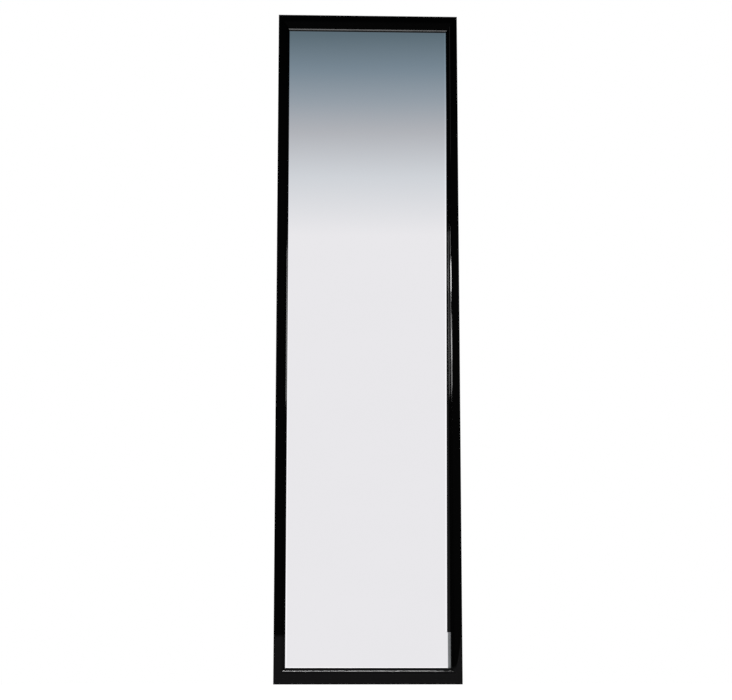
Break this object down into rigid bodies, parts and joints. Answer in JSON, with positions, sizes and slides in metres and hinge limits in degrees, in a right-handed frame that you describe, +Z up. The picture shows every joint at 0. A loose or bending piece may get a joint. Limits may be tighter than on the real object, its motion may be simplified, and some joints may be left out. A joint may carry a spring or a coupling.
{
  "type": "pull out closet mirror",
  "caption": "Tall framed mirror that pulls out of a closet on telescopic ball-bearing slides and turns about a vertical friction hinge at its leading edge.",
  "frame": {"origin": "middle of the four panel screw holes, on the face of the closet's side panel, which is also mid-height of the mirror", "axes": "+X the way the mirror pulls out, +Y into the side panel (the mirror faces -Y), +Z up"},
  "size_m": [0.3302, 0.0465, 1.2192],
  "materials": {
    "gloss_black": "piano black lacquer, high gloss",
    "mirror_glass": "silvered float glass, polished bevel",
    "safety_film": "grey safety film",
    "foam": "closed-cell foam sheet",
    "backing_board": "hardboard, black painted face",
    "black_steel": "satin black powder coat",
    "zinc_steel": "bright zinc-plated cold-rolled steel",
    "retainer_steel": "zinc-plated strip",
    "bearing_steel": "polished, lightly greased",
    "plated_fasteners": "bright zinc",
    "spring_steel": "phosphated spring steel",
    "rubber": "matt black",
    "nylon": "natural nylon"
  },
  "bodies": {
    "root": {"upper_outer_member": "zinc_steel", "upper_rear_stop": "nylon", "lower_outer_member": "zinc_steel", "lower_rear_stop": "nylon"},
    "middle_members": {"upper_middle_member": "zinc_steel", "lower_middle_member": "zinc_steel"},
    "outer_retainers": {"upper_outer_retainer": "retainer_steel", "upper_outer_balls": "bearing_steel", "lower_outer_retainer": "retainer_steel", "lower_outer_balls": "bearing_steel"},
    "inner_retainers": {"upper_inner_retainer": "retainer_steel", "upper_inner_balls": "bearing_steel", "lower_inner_retainer": "retainer_steel", "lower_inner_balls": "bearing_steel"},
    "carriage": {"upper_inner_member": "zinc_steel", "lower_inner_member": "zinc_steel", "front_post": "black_steel", "rear_post": "black_steel", "post_rivets": "plated_fasteners", "rest_bumpers": "rubber", "upper_pivot_arm": "black_steel", "lower_pivot_arm": "black_steel", "pivot_bolts": "plated_fasteners", "pivot_washers": "plated_fasteners", "disc_springs": "spring_steel", "pivot_nuts": "plated_fasteners", "stop_pins": "plated_fasteners"},
    "mirror": {"frame_leading_stile": "gloss_black", "frame_trailing_stile": "gloss_black", "frame_top_rail": "gloss_black", "frame_bottom_rail": "gloss_black", "corner_braces": "plated_fasteners", "corner_brace_screws": "plated_fasteners", "mirror_glass": "mirror_glass", "safety_film": "safety_film", "foam_sheet": "foam", "backing_board": "backing_board", "backing_screws": "plated_fasteners", "setting_blocks": "rubber", "hinge_spine": "black_steel", "spine_screws": "plated_fasteners", "pivot_bushes": "nylon"}
  },
  "joints": [
    {"name": "pull_out", "type": "slide", "parent": "root", "child": "carriage", "axis": [1, 0, 0], "range_m": [0, 0.3]},
    {"name": "middle_travel", "type": "slide", "parent": "root", "child": "middle_members", "axis": [1, 0, 0], "range_m": [0, 0.15]},
    {"name": "outer_retainer_travel", "type": "slide", "parent": "root", "child": "outer_retainers", "axis": [1, 0, 0], "range_m": [0, 0.075]},
    {"name": "inner_retainer_travel", "type": "slide", "parent": "root", "child": "inner_retainers", "axis": [1, 0, 0], "range_m": [0, 0.225]},
    {"name": "mirror_swing", "type": "hinge", "parent": "carriage", "child": "mirror", "pos_m": [0.1521, -0.0145, 0], "axis": [0, 0, 1], "range_deg": [0, 90]}
  ],
  "couplings": [
    {"joint": "middle_travel", "follows": "pull_out", "ratio": 0.5},
    {"joint": "outer_retainer_travel", "follows": "pull_out", "ratio": 0.25},
    {"joint": "inner_retainer_travel", "follows": "pull_out", "ratio": 0.75}
  ]
}
